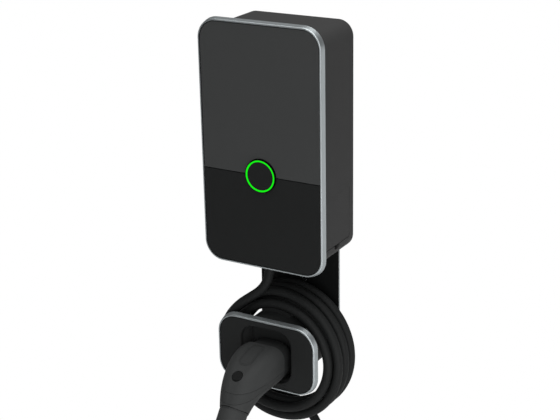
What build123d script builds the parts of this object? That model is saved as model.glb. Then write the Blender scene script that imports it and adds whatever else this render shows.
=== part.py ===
from build123d import *
import os
from math import cos, radians, sin, tan

# EV wallbox with a tethered charging cable, coiled on a plug dock below the box.
# Millimetres. The wall is the plane Y = 0, the front faces -Y and Z is up.
# A depth is a distance from the wall towards the viewer, so a depth d lies at Y = -d.
# The origin is the centre of the wall hole pattern, level with the middle of the box.

# Overall size of the box
box_width = 182.6
box_height = 333.0
box_depth = 102.0

# Silver trim, the same section on box and dock
trim_corner = 28.5
trim_lip = 3.8
trim_flare = 1.9
trim_lip_thickness = 3.0
trim_wall = 2.6
trim_band = 7.8
trim_round = 1.6

# Front panels
panel_gap = 1.1
panel_recess = 0.6
panel_edge_round = 0.4
seam_gap = 1.2
seam_height = -35.3

# Status light and start button
ring_radius = 21.3
ring_width = 1.9
ring_thickness = 1.4
ring_proud = 2.0
bezel_wall = 0.6
bezel_ledge = 1.1
light_fit = 0.2
led_count = 12
led_size = 0.6
led_height = 1.0
board_thickness = 1.6
button_clearance = 0.3
button_thickness = 1.6
button_travel = 1.5
button_round = 0.6
stem_radius = 6.0
stem_clearance = 0.4
switch_size = 6.2
switch_height = 2.4
switch_gap = 0.3
switch_board_size = 34.0
switch_post_radius = 2.5
switch_post_inset = 4.0

# Front carrier and its seal
carrier_thickness = 4.0
carrier_clearance = 0.2
skirt_depth = 10.0
skirt_wall = 2.0
skirt_clearance = 0.4
seal_thickness = 2.0
seal_inset = 0.4
seal_width = 4.0

# Rear housing
housing_inset_x = 9.0
housing_inset_z = 10.3
housing_corner = 21.0
housing_wall = 3.0
rear_hollow = 11.0
bracket_slot_clearance = 0.5

# Side covers, flush in the lower part of each side wall
side_cover_bottom = 31.5
side_cover_height = 71.0
side_cover_back = 11.2
side_cover_front_margin = 14.4
side_cover_thickness = 2.0
side_cover_gap = 0.5
side_cover_corner = 3.0
side_cover_lift = 0.4
pry_notch_width = 15.0
pry_notch_height = 7.0
pry_notch_depth = 6.0
pry_notch_wall = 2.0
pry_notch_forward = 1.5

# Screws
screw_radius = 2.0
screw_fit = 0.1
screw_head_radius = 3.6
screw_head_height = 2.4
screw_head_fit = 0.3
screw_bite = 14.0
boss_radius = 5.0
boss_inset = 11.0

# Circuit board and what stands on it
board_width = 118.0
board_height = 206.0
board_rise = 10.0
board_raise = 22.0
board_hole_inset = 6.0
post_radius = 4.5
board_screw_bite = 6.0
relay_width = 22.0
relay_height = 29.0
relay_depth = 20.0
relay_pitch = 25.0
relay_count = 4
relay_row_height = 64.0
sensor_outer = 19.0
sensor_inner = 10.0
sensor_depth = 17.0
sensor_x = -34.0
sensor_z = 6.0
supply_block_width = 44.0
supply_block_height = 56.0
supply_block_depth = 24.0
supply_block_x = 26.0
supply_block_z = 10.0
terminal_width = 64.0
terminal_height = 24.0
terminal_depth = 26.0
terminal_x = 14.0
terminal_drop = 12.0
terminal_poles = 5
terminal_mouth = 8.0
terminal_sink = 4.0
part_round = 1.0
board_corner = 2.0

# Cable glands under the box
charging_gland_x = -13.0
charging_gland_depth = 60.5
supply_gland_x = 32.0
supply_gland_depth = 50.0
gland_bore_fit = 0.15
gland_wall = 3.0
gland_collar_flats = 24.0
gland_collar_height = 6.0
gland_inner_length = 12.0
gland_nut_height = 19.0
gland_nut_flats = 22.0
gland_nut_round = 3.0
supply_bore = 6.5

# Wall bracket that carries box and dock
bracket_thickness = 3.0
bracket_margin = 21.9
bracket_corner = 10.0
bracket_shoulder = 18.0
wall_hole_radius = 3.25
wall_hole_inset_x = 51.3
wall_hole_inset_z = 46.5
pad_radius = 8.0
pad_outward = 5.0
pad_inward = 25.0
pad_gap = 0.05
channel_width = 21.0
channel_height = 7.0
channel_round = 3.5
channel_end_gap = 2.0

# Plug dock below the box
dock_width = 153.9
dock_height = 102.3
dock_corner = 30.5
dock_drop = 126.3
dock_setback = 1.5
pocket_margin_x = 8.5
pocket_margin_z = 12.0
pocket_depth = 44.0
pocket_wall = 2.5
pocket_edge_round = 2.2
drum_radius = 52.0
drum_wall = 3.0
drum_front_wall = 3.0
drum_floor = 4.0
drum_trim_gap = 0.4
drum_screw_circle = 30.0
drum_screw_count = 3
saddle_width = 44.0
saddle_back = 18.0
saddle_gap = 0.5
holster_gap = 1.5
holster_depth = 16.0
holster_fit = 0.4

# Plug, with the vehicle-side nose parked in the dock
plug_drop = 10.55
plug_gap = 4.5
collar_width = 60.0
collar_height = 52.0
collar_corner = 20.0
collar_depth = 22.0
nose_step = 1.0
nose_flat_share = 0.72
nose_depth = 24.0
contact_radius = 3.0
signal_radius = 1.6
contact_wall = 1.4
contact_fit = 0.3
contact_depth = 18.0
contact_base = 3.0
contact_spacing = 15.5
signal_row = 10.0
earth_row = 13.0

# Handle sections from the collar to the sleeve: forward, drop, tilt, width, height and the
# share of the smaller side that rounds the upper corners
handle_sections = (
    (0.0, 0.0, 0.0, 65.0, 57.0, 0.29),
    (36.0, 2.0, 12.0, 62.5, 56.0, 0.33),
    (61.5, 13.4, 33.0, 52.0, 49.0, 0.41),
    (78.8, 33.3, 50.0, 39.5, 39.5, 0.47),
)
handle_lower_share = 0.47
band_rear_drop = 2.5
band_slope = 1.8
band_width = 4.0
band_spread = 5.2
shell_seam = 0.4
inlay_width = 20.0
inlay_length = 46.0
inlay_corner = 8.5
inlay_rim = 1.7
inlay_groove = 0.4
inlay_thickness = 1.2
inlay_gap = 0.4
inlay_forward = 30.5
release_forward = 68.5
release_tilt = 24.0
release_radius = 7.6
release_clearance = 0.3
release_travel = 2.0
release_proud = 0.6
release_length = 7.0
release_round = 0.8
sleeve_radius = 19.2
sleeve_end_radius = 18.8
sleeve_length = 28.0
sleeve_lip = 1.5
relief_length = 44.0
relief_end_wall = 1.5
relief_ribs = 5
relief_groove = 1.6

# Charging cable
cable_diameter = 13.0
coil_slack = 19.5
coil_rest_gap = 5.5
coil_nest = 15.0
coil_back = 15.5
coil_step = 48.5
coil_front = 76.5
coil_round_share = 0.9
# Points of the free cable: across, distance from the wall, height from the dock's middle
lead_points = (
    (-13.0, 61.3, 112.5),
    (-14.5, 64.8, 94.5),
    (-22.0, 70.5, 80.5),
    (-35.5, 75.0, 70.0),
    (-49.5, 78.0, 59.5),
    (-62.0, 79.5, 46.5),
    (-71.5, 80.5, 31.5),
    (-78.0, 80.5, 15.0),
    (-80.5, 79.0, -3.0),
)
tail_points = (
    (-31.0, 18.5, -100.5),
    (-1.0, 17.5, -104.5),
    (26.0, 20.0, -117.0),
    (47.5, 27.5, -138.0),
    (61.5, 38.5, -167.0),
    (65.0, 58.0, -200.0),
    (60.0, 85.5, -231.0),
    (53.0, 121.5, -251.0),
    (43.0, 161.5, -257.0),
    (33.0, 199.5, -247.0),
    (23.0, 230.5, -224.0),
    (13.0, 254.5, -195.0),
    (4.0, 261.0, -158.0),
)
tail_straight = 33.0
bend_share = 0.45

# Depths and places worked out from the sizes above
lip_back = box_depth - trim_lip_thickness
panel_front = box_depth - panel_recess
carrier_back = lip_back - carrier_thickness
housing_front = carrier_back - seal_thickness
housing_width = box_width - 2 * housing_inset_x
housing_height = box_height - 2 * housing_inset_z
back_wall_front = rear_hollow + housing_wall
side_cover_depth = housing_front - side_cover_back - side_cover_front_margin
wall_hole_spacing_x = box_width - 2 * wall_hole_inset_x
wall_hole_spacing_z = box_height - 2 * wall_hole_inset_z
bracket_width = wall_hole_spacing_x + 2 * bracket_margin
pad_spacing_x = wall_hole_spacing_x + 2 * pad_outward
pad_spacing_z = wall_hole_spacing_z - 2 * pad_inward
ring_front = box_depth + ring_proud
ring_inner = ring_radius - ring_width
bezel_radius = ring_radius + light_fit + bezel_wall
dock_depth = box_depth - dock_setback
dock_z = -(box_height / 2 + dock_drop)
dock_face_back = dock_depth - trim_lip_thickness
dock_flange_back = dock_face_back - carrier_thickness
pocket_width = collar_width + 2 * pocket_margin_x
pocket_height = collar_height + 2 * pocket_margin_z
pocket_corner = collar_corner
nose_radius = collar_height / 2 - nose_step
nose_flat = nose_flat_share * nose_radius
plug_z = dock_z - plug_drop
plug_depth = dock_depth + plug_gap
cable_radius = cable_diameter / 2
coil_front_radius = drum_radius + cable_radius + coil_slack
coil_radius = coil_front_radius + coil_nest
coil_z = dock_z - coil_slack + coil_rest_gap
coil_round = coil_round_share * cable_radius


def plate(width, height, corner, back, front, x=0.0, z=0.0):
    """Rounded rectangle parallel to the wall, between two depths."""
    outline = Plane.XZ.offset(back) * Pos(x, z) * RectangleRounded(width, height, corner)
    return extrude(outline, front - back)


def disc(radius, back, front, x=0.0, z=0.0):
    """Round piece with its axis square to the wall, between two depths."""
    return extrude(Plane.XZ.offset(back) * Pos(x, z) * Circle(radius), front - back)


def column(radius, low, high, x, depth):
    """Upright round piece between two heights."""
    return extrude(Plane.XY.offset(low) * Pos(x, -depth) * Circle(radius), high - low)


def hexagon(flats, low, high, x, depth):
    """Upright hexagonal piece between two heights."""
    outline = RegularPolygon(flats / 2, 6, major_radius=False)
    return extrude(Plane.XY.offset(low) * Pos(x, -depth) * outline, high - low)


def front_edges(shape):
    """Edges of the face nearest the viewer."""
    return shape.faces().sort_by(Axis.Y)[0].edges()


def corners(spacing_x, spacing_z):
    """The four corner places of a rectangle around the middle."""
    return [(sx * spacing_x / 2, sz * spacing_z / 2) for sx in (-1, 1) for sz in (-1, 1)]


def screw(head_back, length, x, z):
    """Pan-head screw square to the wall, its head towards the viewer."""
    head = disc(screw_head_radius, head_back, head_back + screw_head_height, x, z)
    head = fillet(front_edges(head), screw_head_height / 3)
    return head + disc(screw_radius, head_back - length, head_back, x, z)


def trim(width, height, corner, front, z):
    """Silver frame: a lip in front of the panel and a band that flares towards the wall."""
    back = front - trim_band
    rear = Plane.XZ.offset(back) * Pos(0, z) * RectangleRounded(width, height, corner)
    fore = Plane.XZ.offset(front) * Pos(0, z) * RectangleRounded(
        width - 2 * trim_flare, height - 2 * trim_flare, corner - trim_flare)
    body = loft([rear, fore])
    body = fillet(front_edges(body), trim_round)
    lip_back = front - trim_lip_thickness
    window = inner_plate(width, height, corner, trim_lip, lip_back, front, z)
    hollow = inner_plate(width, height, corner, trim_wall, back, lip_back, z)
    return body - window - hollow


def inner_plate(width, height, corner, inset, back, front, z=0.0):
    """Plate that lies a given distance inside a rounded outline."""
    return plate(width - 2 * inset, height - 2 * inset, corner - inset, back, front, z=z)


# Front of the box


def front_panels():
    """Upper and lower panel, parted by the seam, with a round cut-out for the status light."""
    inset = trim_lip + panel_gap
    whole = inner_plate(box_width, box_height, trim_corner, inset, lip_back, panel_front)
    whole = fillet(front_edges(whole), panel_edge_round)
    whole -= disc(bezel_radius + panel_gap, lip_back, panel_front, z=seam_height)
    above = Pos(0, -box_depth / 2, seam_height + seam_gap / 2) * Box(
        box_width, 2 * box_depth, box_height, align=(Align.CENTER, Align.CENTER, Align.MIN))
    below = Pos(0, -box_depth / 2, seam_height - seam_gap / 2) * Box(
        box_width, 2 * box_depth, box_height, align=(Align.CENTER, Align.CENTER, Align.MAX))
    return whole & above, whole & below


def status_light():
    """Raised bezel, luminous ring with its light-guide skirt, and the LED board in the bezel."""
    ledge_radius = ring_radius - bezel_ledge
    guide_outer = ledge_radius - light_fit
    rim_back = ring_front - ring_thickness
    board_front = lip_back + board_thickness
    bezel = disc(bezel_radius, lip_back, ring_front, z=seam_height)
    bezel -= disc(ledge_radius, lip_back, rim_back, z=seam_height)
    bezel -= disc(ring_radius + light_fit, rim_back, ring_front, z=seam_height)
    rim = disc(ring_radius, rim_back, ring_front, z=seam_height)
    guide = disc(guide_outer, board_front + led_height + light_fit, rim_back, z=seam_height)
    ring = rim + guide - disc(ring_inner, lip_back, ring_front, z=seam_height)
    board = disc(guide_outer, lip_back, board_front, z=seam_height)
    board -= disc(stem_radius + stem_clearance, lip_back, board_front, z=seam_height)
    led_circle = (ring_inner + guide_outer) / 2
    for spot in PolarLocations(led_circle, led_count):
        led = Plane.XZ.offset(board_front) * Pos(0, seam_height) * spot * Rectangle(led_size, led_size)
        board += extrude(led, led_height)
    return bezel, ring, board


def start_button():
    """Round push button inside the luminous ring, with the stem that works the switch."""
    back = ring_front - button_thickness
    cap = disc(ring_inner - button_clearance, back, ring_front, z=seam_height)
    cap = fillet(front_edges(cap), button_round)
    stem_back = carrier_back - switch_post_gap() + switch_height + switch_gap + button_travel
    return cap + disc(stem_radius, stem_back, back, z=seam_height)


def switch_post_gap():
    """Space between the carrier's back and the switch board."""
    return switch_height + switch_gap + button_travel - stem_clearance


def switch_board():
    """Small board behind the carrier with the switch that the start button works."""
    front = carrier_back - switch_post_gap()
    board = plate(switch_board_size, switch_board_size, switch_post_radius, front - board_thickness, front,
                  z=seam_height)
    body = plate(switch_size, switch_size, part_round, front, front + switch_height, z=seam_height)
    return board + body


def cover_screw_places():
    """Corner places of the screws that hold the carrier to the housing."""
    inset = housing_wall + boss_inset
    return corners(housing_width - 2 * inset, housing_height - 2 * inset)


def front_carrier():
    """Moulded tray behind the panels, with a skirt inside the housing and posts for the switch board."""
    inset = trim_wall + carrier_clearance
    tray = inner_plate(box_width, box_height, trim_corner, inset, carrier_back, lip_back)
    outer = housing_wall + skirt_clearance
    skirt = inner_plate(housing_width, housing_height, housing_corner, outer, carrier_back - skirt_depth,
                        carrier_back)
    skirt -= inner_plate(housing_width, housing_height, housing_corner, outer + skirt_wall,
                         carrier_back - skirt_depth, carrier_back)
    head_back = lip_back - screw_head_height
    for x, z in cover_screw_places():
        skirt -= disc(boss_radius + skirt_clearance, carrier_back - skirt_depth, carrier_back, x, z)
        tray -= disc(screw_radius + screw_fit, carrier_back, lip_back, x, z)
        tray -= disc(screw_head_radius + screw_head_fit, head_back, lip_back, x, z)
    tray -= disc(stem_radius + stem_clearance, carrier_back, lip_back, z=seam_height)
    post_spacing = switch_board_size - 2 * switch_post_inset
    for x, z in corners(post_spacing, post_spacing):
        tray += disc(switch_post_radius, carrier_back - switch_post_gap(), carrier_back, x, z + seam_height)
    return tray + skirt


def cover_screws():
    """Screws through the carrier into the housing's corner bosses, hidden by the panels."""
    head_back = lip_back - screw_head_height
    return [screw(head_back, screw_bite, x, z) for x, z in cover_screw_places()]


def cover_seal():
    """Rubber gasket between the carrier and the housing's rim."""
    inner = min(seal_width, housing_wall + skirt_clearance / 2)
    outside, inside = [inner_plate(housing_width, housing_height, housing_corner, inset, housing_front,
                                   carrier_back) for inset in (seal_inset, inner)]
    return outside - inside


# Rear housing and what is in it


def side_cover_blank(side, gap, lift):
    """Rounded plate at the lower part of one side wall, let in from its outer face."""
    middle_z = -housing_height / 2 + side_cover_bottom - housing_inset_z + side_cover_height / 2 + lift
    middle_depth = side_cover_back + side_cover_depth / 2
    middle = (side * housing_width / 2, -middle_depth, middle_z)
    plane = Plane(middle, x_dir=(0, 1, 0), z_dir=(side, 0, 0))
    outline = plane * RectangleRounded(side_cover_depth + 2 * gap, side_cover_height + 2 * gap,
                                       side_cover_corner + gap)
    return extrude(outline, -side_cover_thickness)


def pry_notch(side, start, wall):
    """Half-round notch under a side cover, from a given distance below the side wall's outer face."""
    low = -housing_height / 2 + side_cover_bottom - housing_inset_z
    middle_depth = side_cover_back + side_cover_depth / 2 + pry_notch_forward
    middle = (side * (housing_width / 2 - start), -middle_depth, low)
    outline = Ellipse(pry_notch_width / 2 + wall, pry_notch_height + wall)
    plane = Plane(middle, x_dir=(0, 1, 0), z_dir=(side, 0, 0))
    return extrude(plane * outline, start - pry_notch_depth - wall)


def board_post_places():
    """Corner places of the posts that carry the main board."""
    return [(x, z + board_raise) for x, z in corners(board_width - 2 * board_hole_inset,
                                                     board_height - 2 * board_hole_inset)]


def gland_places():
    """Place and bore radius of each gland in the housing's floor."""
    return ((charging_gland_x, charging_gland_depth, cable_radius + gland_bore_fit),
            (supply_gland_x, supply_gland_depth, supply_bore))


def rear_housing():
    """Moulded shell: open at the front, hollow behind its back wall to take the bracket."""
    shell = plate(housing_width, housing_height, housing_corner, 0, housing_front)
    for back, front in ((back_wall_front, housing_front), (0.0, rear_hollow)):
        shell -= inner_plate(housing_width, housing_height, housing_corner, housing_wall, back, front)
    slot_width = bracket_width + 2 * bracket_slot_clearance
    slot_depth = bracket_thickness + bracket_slot_clearance
    slot = Box(slot_width, slot_depth, 2 * housing_wall)
    shell -= Pos(0, -slot_depth / 2, -housing_height / 2) * slot
    for x, z in cover_screw_places():
        shell += disc(boss_radius, back_wall_front, carrier_back, x, z)
        bore_back = carrier_back - screw_bite - screw_head_height
        shell -= disc(screw_radius + screw_fit, bore_back, carrier_back, x, z)
    for x, z in board_post_places():
        shell += disc(post_radius, back_wall_front, back_wall_front + board_rise, x, z)
        shell -= disc(screw_radius + screw_fit, back_wall_front + board_rise - board_screw_bite,
                      back_wall_front + board_rise, x, z)
    for x, z in corners(pad_spacing_x, pad_spacing_z):
        shell -= disc(screw_radius + screw_fit, rear_hollow, back_wall_front, x, z)
    for x, depth, bore in gland_places():
        hole = bore + gland_wall + screw_fit
        shell -= column(hole, -housing_height / 2, -housing_height / 2 + housing_wall, x, depth)
    for side in (-1, 1):
        shell += pry_notch(side, housing_wall, pry_notch_wall)
        shell -= side_cover_blank(side, side_cover_gap, 0.0)
        shell -= pry_notch(side, 0.0, 0.0)
    return shell


def main_board():
    """Main circuit board on the housing's posts."""
    back = back_wall_front + board_rise
    board = plate(board_width, board_height, board_corner, back, back + board_thickness, z=board_raise)
    for x, z in board_post_places():
        board -= disc(screw_radius + screw_fit, back, back + board_thickness, x, z)
    return board


def board_front():
    """Depth of the main board's front face."""
    return back_wall_front + board_rise + board_thickness


def board_screws():
    """Screws that hold the main board to its posts."""
    return [screw(board_front(), board_thickness + board_screw_bite, x, z) for x, z in board_post_places()]


def relays():
    """Row of switching relays across the upper part of the board."""
    start = -(relay_count - 1) * relay_pitch / 2
    row = []
    for number in range(relay_count):
        relay = plate(relay_width, relay_height, part_round, board_front(), board_front() + relay_depth,
                      start + number * relay_pitch, board_raise + relay_row_height)
        row.append(fillet(front_edges(relay), part_round))
    return row


def current_sensor():
    """Residual-current sensor: a ring core that the live wires pass through."""
    back = board_front()
    z = board_raise + sensor_z
    ring = disc(sensor_outer, back, back + sensor_depth, sensor_x, z)
    ring -= disc(sensor_inner, back, back + sensor_depth, sensor_x, z)
    return fillet(front_edges(ring), part_round)


def power_supply():
    """Potted power supply for the electronics."""
    block = plate(supply_block_width, supply_block_height, board_corner, board_front(),
                  board_front() + supply_block_depth, supply_block_x, board_raise + supply_block_z)
    return fillet(front_edges(block), part_round)


def supply_terminal():
    """Terminal block for the supply wires at the foot of the board."""
    z = board_raise - board_height / 2 + board_hole_inset + terminal_height / 2 + terminal_drop
    back = board_front()
    front = back + terminal_depth
    block = plate(terminal_width, terminal_height, part_round, back, front, terminal_x, z)
    pitch = terminal_width / terminal_poles
    for number in range(terminal_poles):
        x = terminal_x + (number - (terminal_poles - 1) / 2) * pitch
        block -= disc(screw_head_radius, front - terminal_sink, front, x, z)
        mouth = Box(terminal_mouth, terminal_mouth, terminal_mouth)
        block -= Pos(x, -(back + front) / 2, z - terminal_height / 2) * mouth
    return block


def gland(x, depth, bore):
    """Gland body: collar under the floor, threaded neck above and below it."""
    floor = -housing_height / 2
    collar_low = floor - gland_collar_height
    body = hexagon(gland_collar_flats, collar_low, floor, x, depth)
    body += column(bore + gland_wall, floor, floor + gland_inner_length, x, depth)
    return body - column(bore, collar_low, floor + gland_inner_length, x, depth)


def gland_nut(x, depth, bore):
    """Domed cap nut that grips the cable below the gland's collar."""
    high = -housing_height / 2 - gland_collar_height
    nut = hexagon(gland_nut_flats, high - gland_nut_height, high, x, depth)
    dome = column(gland_nut_flats / 2, high - gland_nut_height, high, x, depth)
    dome = fillet(dome.faces().sort_by(Axis.Z)[0].edges(), gland_nut_round)
    grip = hexagon(gland_nut_flats, high - gland_nut_height / 2, high, x, depth)
    return (nut & dome) + grip - column(bore, high - gland_nut_height, high, x, depth)


# Wall bracket


def wall_bracket():
    """Back plate fixed to the wall, with pads for the box and a raised channel down to the drum."""
    top = wall_hole_spacing_z / 2 + bracket_margin
    shoulder = dock_z + bracket_shoulder
    middle = (top + shoulder) / 2
    sheet = plate(bracket_width, top - shoulder, bracket_corner, 0, bracket_thickness, z=middle)
    sheet += disc(drum_radius - drum_wall, 0, bracket_thickness, z=dock_z)
    channel_top = -housing_height / 2 - channel_end_gap
    channel_low = dock_z + drum_radius + channel_end_gap
    channel = Box(channel_width, channel_height, channel_top - channel_low,
                  align=(Align.CENTER, Align.MAX, Align.CENTER))
    channel = Pos(0, -bracket_thickness, (channel_top + channel_low) / 2) * channel
    ridge = channel.faces().sort_by(Axis.Y)[0].edges().filter_by(Axis.Z)
    sheet += fillet(ridge, channel_round)
    for x, z in corners(wall_hole_spacing_x, wall_hole_spacing_z):
        sheet -= disc(wall_hole_radius, 0, bracket_thickness, x, z)
    for x, z in corners(pad_spacing_x, pad_spacing_z):
        sheet += disc(pad_radius, bracket_thickness, rear_hollow - pad_gap, x, z)
        sheet -= disc(screw_radius + screw_fit, bracket_thickness, rear_hollow, x, z)
    for x, z in drum_screw_places():
        sheet -= disc(screw_radius + screw_fit, 0, bracket_thickness, x, z)
    return sheet


def bracket_screws():
    """Screws from inside the housing into the bracket's pads."""
    length = back_wall_front - bracket_thickness - screw_fit
    return [screw(back_wall_front, length, x, z) for x, z in corners(pad_spacing_x, pad_spacing_z)]


# Plug dock


def drum_screw_places():
    """Places of the screws that hold the drum to the bracket."""
    return [(spot.position.X, dock_z + spot.position.Y)
            for spot in PolarLocations(drum_screw_circle, drum_screw_count, start_angle=90)]


def coil_drum():
    """Hollow drum that carries the cable coil, with a stepped saddle under its turns."""
    drum_front = dock_depth - trim_band - drum_trim_gap
    drum = disc(drum_radius, bracket_thickness, drum_front, z=dock_z)
    front_wall_back = drum_front - drum_front_wall
    drum -= disc(drum_radius - drum_wall, bracket_thickness + drum_floor, front_wall_back, z=dock_z)
    neck = disc(drum_radius, drum_front, dock_flange_back, z=dock_z)
    drum += neck & inner_plate(dock_width, dock_height, dock_corner,
                               trim_wall + carrier_clearance + drum_trim_gap, drum_front,
                               dock_flange_back, z=dock_z)
    saddle_front = coil_step - coil_round - saddle_gap
    for back, front, turn_radius in ((saddle_back, saddle_front, coil_radius),
                                     (saddle_front, coil_front - coil_round, coil_front_radius)):
        block = Pos(0, -(back + front) / 2, dock_z + drum_radius) * Box(
            saddle_width, front - back, drum_radius)
        block &= disc(turn_radius - cable_radius - saddle_gap, back, front, z=coil_z)
        drum += block - disc(drum_radius - drum_wall / 2, back, front, z=dock_z)
    pocket_back = dock_depth - panel_recess - pocket_depth - pocket_wall - carrier_clearance
    drum -= inner_plate(pocket_width, pocket_height, pocket_corner, -pocket_wall - carrier_clearance,
                        pocket_back, dock_flange_back, z=dock_z)
    for x, z in drum_screw_places():
        drum -= disc(screw_radius + screw_fit, bracket_thickness, bracket_thickness + drum_floor, x, z)
    return drum


def drum_screws():
    """Screws from inside the drum into the bracket."""
    head_back = bracket_thickness + drum_floor
    return [screw(head_back, head_back - screw_fit, x, z) for x, z in drum_screw_places()]


def dock_face():
    """Moulded face plate with the pocket that takes the plug."""
    inset = trim_lip + panel_gap
    front = dock_depth - panel_recess
    face = inner_plate(dock_width, dock_height, dock_corner, inset, dock_face_back, front, z=dock_z)
    face = fillet(front_edges(face), panel_edge_round)
    flange_inset = trim_wall + carrier_clearance
    face += inner_plate(dock_width, dock_height, dock_corner, flange_inset, dock_flange_back,
                        dock_face_back, z=dock_z)
    floor = front - pocket_depth
    face += inner_plate(pocket_width, pocket_height, pocket_corner, -pocket_wall, floor - pocket_wall,
                        dock_flange_back, z=dock_z)
    face -= inner_plate(pocket_width, pocket_height, pocket_corner, 0, floor, front, z=dock_z)
    rim = front_edges(face).filter_by(lambda edge: abs(edge.center().X) < pocket_width / 2 + panel_gap)
    rim = rim.filter_by(lambda edge: abs(edge.center().Z - dock_z) < pocket_height / 2 + panel_edge_round)
    return fillet(rim, pocket_edge_round)


def nose_outline(radius, flat):
    """Round outline with a flat across its top."""
    cut = Pos(0, flat) * Rectangle(2 * radius, 2 * radius, align=(Align.CENTER, Align.MIN))
    return Circle(radius) - cut


def nose_prism(radius, flat, back, front):
    """Prism of the nose outline on the plug's axis."""
    return extrude(Plane.XZ.offset(back) * Pos(0, plug_z) * nose_outline(radius, flat), front - back)


def holster_insert():
    """Guide on the pocket's floor, shaped to the plug's nose."""
    back = dock_depth - panel_recess - pocket_depth
    front = back + holster_depth
    block = inner_plate(pocket_width, pocket_height, pocket_corner, holster_gap, back, front, z=dock_z)
    block = fillet(front_edges(block), part_round)
    return block - nose_prism(nose_radius + holster_fit, nose_flat + holster_fit, back, front)


# Plug


def contact_places():
    """Place and pin radius of each contact on the plug's face."""
    places = [(side * contact_spacing / 2, signal_row, signal_radius) for side in (-1, 1)]
    places += [(step * contact_spacing, 0.0, contact_radius) for step in (-1, 0, 1)]
    places += [(side * contact_spacing / 2, -earth_row, contact_radius) for side in (-1, 1)]
    return places


def plug_nose():
    """Black collar and nose of the plug, with a hole for each contact."""
    collar_back = plug_depth - collar_depth
    nose_back = collar_back - nose_depth
    nose = plate(collar_width, collar_height, collar_corner, collar_back, plug_depth, z=plug_z)
    nose += nose_prism(nose_radius, nose_flat, nose_back, collar_back)
    for x, z, radius in contact_places():
        hole = radius + contact_wall + contact_fit
        nose -= disc(hole, nose_back, nose_back + contact_depth + contact_base, x, plug_z + z)
    return nose


def plug_contacts():
    """Contact sleeves, each seated at the bottom of its hole in the nose."""
    nose_back = plug_depth - collar_depth - nose_depth
    back = nose_back + contact_base
    sleeves = []
    for x, z, radius in contact_places():
        sleeve = disc(radius + contact_wall, back, back + contact_depth, x, plug_z + z)
        sleeves.append(sleeve - disc(radius, back, nose_back + contact_depth, x, plug_z + z))
    return sleeves


def handle_plane(forward, drop, tilt):
    """Plane across the handle; its normal points out of the dock and down by the tilt."""
    angle = radians(tilt)
    middle = (0, -(plug_depth + forward), plug_z - drop)
    return Plane(middle, x_dir=(1, 0, 0), z_dir=(0, -cos(angle), -sin(angle)))


def handle_body():
    """Whole handle: a loft that bends from the nose's axis down to the cable sleeve."""
    outlines = []
    for forward, drop, tilt, width, height, upper_share in handle_sections:
        small = min(width, height)
        outline = Rectangle(width, height)
        outline = fillet(outline.vertices().group_by(Axis.Y)[0], handle_lower_share * small)
        outline = fillet(outline.vertices().group_by(Axis.Y)[-1], upper_share * small)
        outlines.append(handle_plane(forward, drop, tilt) * outline)
    return loft(outlines)


def handle_reach():
    """Length that is sure to pass right through the handle."""
    return 2 * (handle_sections[-1][0] + handle_sections[0][4])


def band_half_space(extra_drop, extra_slope, upper):
    """Everything above or below one edge of the seam band."""
    reach = handle_reach()
    start = plug_z - band_rear_drop - extra_drop
    angle = radians(band_slope + extra_slope)
    plane = Plane((0, -plug_depth, start), x_dir=(1, 0, 0), z_dir=(0, -sin(angle), cos(angle)))
    return extrude(plane * Rectangle(reach, 2 * reach), reach if upper else -reach)


def top_surface_plane(forward, tilt, body):
    """Plane that touches the top of the handle at a given distance from the collar."""
    y = -(plug_depth + forward)
    probe = Line((0, y, plug_z), (0, y, plug_z + handle_reach()))
    height = max(vertex.Z for vertex in (body & probe).vertices())
    angle = radians(tilt)
    return Plane((0, y, height), x_dir=(1, 0, 0), z_dir=(0, -sin(angle), cos(angle)))


def inlay_cutter(body, gap):
    """Prism of the inlay's outline, reaching from above into the handle."""
    plane = top_surface_plane(inlay_forward, inlay_tilt(), body)
    outline = plane * RectangleRounded(inlay_width + 2 * gap, inlay_length + 2 * gap, inlay_corner + gap)
    return extrude(outline, inlay_length / 2, both=True)


def inlay_tilt():
    """Slope of the handle's top between its first two sections."""
    return handle_sections[1][2] / 2


def handle_pieces():
    """Top shell, seam band, bottom shell, inlay and round release button of the handle."""
    body = handle_body()
    sunk = Pos(0, 0, -inlay_thickness) * body
    seam = shell_seam / 2
    top = body & band_half_space(-seam, 0.0, True)
    band = body & band_half_space(seam, 0.0, False) & band_half_space(band_width - seam, band_spread, True)
    bottom = body & band_half_space(band_width + seam, band_spread, False)
    inlay = (body & inlay_cutter(body, 0.0)) - sunk
    groove = inlay_cutter(body, -inlay_rim) - inlay_cutter(body, -inlay_rim - inlay_groove)
    inlay -= groove - Pos(0, 0, -inlay_groove) * body
    top -= (body & inlay_cutter(body, inlay_gap)) - sunk
    plane = top_surface_plane(release_forward, release_tilt, body)
    pocket_depth_needed = release_length - release_proud + release_travel + release_clearance
    pocket = extrude(plane * Circle(release_radius + release_clearance), release_radius)
    pocket += extrude(plane * Circle(release_radius + release_clearance), -pocket_depth_needed)
    button = extrude(plane.offset(release_proud) * Circle(release_radius), -release_length)
    button = fillet(button.faces().sort_by(Axis.Z)[-1].edges(), release_round)
    return top - pocket, band - pocket, bottom - pocket, inlay, button


def sleeve_plane(distance):
    """Plane across the cable sleeve at a distance from the handle's end."""
    forward, drop, tilt = handle_sections[-1][:3]
    return handle_plane(forward, drop, tilt).offset(distance)


def cable_sleeve():
    """Round sleeve screwed to the handle's end, with a raised lip at its start."""
    end = sleeve_plane(sleeve_length)
    body = loft([sleeve_plane(0) * Circle(sleeve_radius), end * Circle(sleeve_end_radius)])
    lip = extrude(sleeve_plane(0) * Circle(sleeve_radius + sleeve_lip / 2), sleeve_lip)
    return body + lip


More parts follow.
